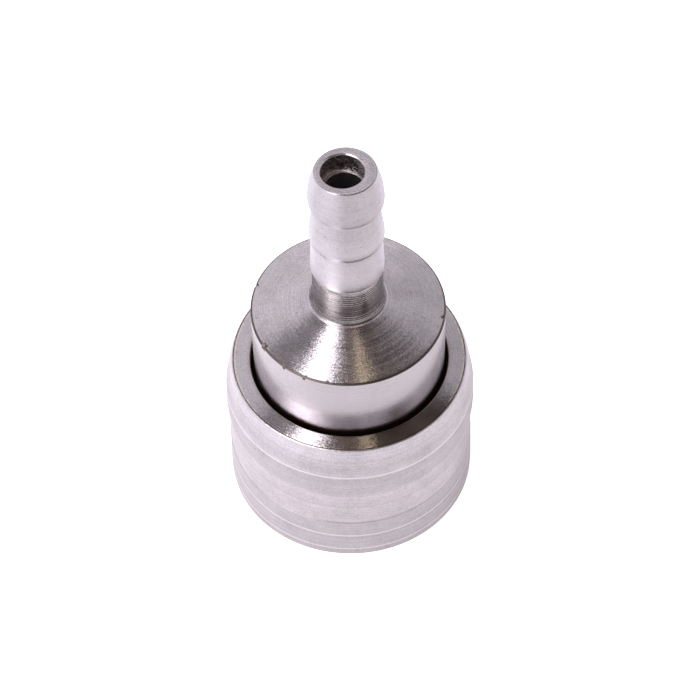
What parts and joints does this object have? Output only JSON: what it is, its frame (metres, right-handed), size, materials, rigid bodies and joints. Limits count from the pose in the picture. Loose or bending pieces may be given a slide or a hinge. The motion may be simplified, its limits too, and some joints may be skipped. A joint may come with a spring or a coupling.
{
  "type": "quick-release hose coupling socket",
  "caption": "Quick-release gas coupling socket with a ribbed hose barb, a sliding locking sleeve with a grip band, a ball lock and a spring-loaded shut-off valve.",
  "frame": {"origin": "centre of the front face of the mouth that takes the plug", "axes": "+Z along the coupling's axis, from the mouth to the hose end; the first locking ball is on +X"},
  "size_m": [0.0266, 0.0266, 0.0483],
  "materials": {
    "turned_nickel": "nickel plate over fine concentric turning marks",
    "satin_nickel": "satin nickel plate, turned",
    "spring_steel": "drawn wire and stamped ring, smooth",
    "ball_steel": "polished bearing steel",
    "brass": "bare turned brass",
    "seal_rubber": "matte nitrile rubber"
  },
  "bodies": {
    "socket": {"hose_tail": "turned_nickel", "socket_body": "turned_nickel", "stop_ring": "spring_steel", "tail_gasket": "seal_rubber", "plug_seal": "seal_rubber", "valve_seat_ring": "brass", "valve_guide": "brass", "valve_spring": "spring_steel"},
    "spring_carriage": {"sleeve_spring": "spring_steel"},
    "sleeve": {"sleeve": "satin_nickel"},
    "valve": {"valve_poppet": "brass", "valve_seal": "seal_rubber"},
    "ball_1": {"locking_ball_1": "ball_steel"},
    "ball_2": {"locking_ball_2": "ball_steel"},
    "ball_3": {"locking_ball_3": "ball_steel"},
    "ball_4": {"locking_ball_4": "ball_steel"},
    "ball_5": {"locking_ball_5": "ball_steel"},
    "ball_6": {"locking_ball_6": "ball_steel"},
    "ball_7": {"locking_ball_7": "ball_steel"},
    "ball_8": {"locking_ball_8": "ball_steel"}
  },
  "joints": [
    {"name": "sleeve_slide", "type": "slide", "parent": "socket", "child": "spring_carriage", "axis": [0, 0, 1], "range_m": [0, 0.0035], "deforming": ["sleeve_spring"]},
    {"name": "sleeve_turn", "type": "hinge", "parent": "spring_carriage", "child": "sleeve", "pos_m": [0, 0, 0], "axis": [0, 0, 1], "continuous": true},
    {"name": "valve_slide", "type": "slide", "parent": "socket", "child": "valve", "axis": [0, 0, 1], "range_m": [0, 0.0032], "deforming": ["valve_spring"]},
    {"name": "ball_1_slide", "type": "slide", "parent": "socket", "child": "ball_1", "axis": [1, 0, 0], "range_m": [0, 0.00091]},
    {"name": "ball_2_slide", "type": "slide", "parent": "socket", "child": "ball_2", "axis": [0.7071, 0.7071, 0], "range_m": [0, 0.00091]},
    {"name": "ball_3_slide", "type": "slide", "parent": "socket", "child": "ball_3", "axis": [0, 1, 0], "range_m": [0, 0.00091]},
    {"name": "ball_4_slide", "type": "slide", "parent": "socket", "child": "ball_4", "axis": [-0.7071, 0.7071, 0], "range_m": [0, 0.00091]},
    {"name": "ball_5_slide", "type": "slide", "parent": "socket", "child": "ball_5", "axis": [-1, 0, 0], "range_m": [0, 0.00091]},
    {"name": "ball_6_slide", "type": "slide", "parent": "socket", "child": "ball_6", "axis": [-0.7071, -0.7071, 0], "range_m": [0, 0.00091]},
    {"name": "ball_7_slide", "type": "slide", "parent": "socket", "child": "ball_7", "axis": [0, -1, 0], "range_m": [0, 0.00091]},
    {"name": "ball_8_slide", "type": "slide", "parent": "socket", "child": "ball_8", "axis": [0.7071, -0.7071, 0], "range_m": [0, 0.00091]}
  ],
  "couplings": [
    {"joint": "ball_1_slide", "follows": "sleeve_slide", "ratio": 0.257},
    {"joint": "ball_2_slide", "follows": "sleeve_slide", "ratio": 0.257},
    {"joint": "ball_3_slide", "follows": "sleeve_slide", "ratio": 0.257},
    {"joint": "ball_4_slide", "follows": "sleeve_slide", "ratio": 0.257},
    {"joint": "ball_5_slide", "follows": "sleeve_slide", "ratio": 0.257},
    {"joint": "ball_6_slide", "follows": "sleeve_slide", "ratio": 0.257},
    {"joint": "ball_7_slide", "follows": "sleeve_slide", "ratio": 0.257},
    {"joint": "ball_8_slide", "follows": "sleeve_slide", "ratio": 0.257}
  ]
}
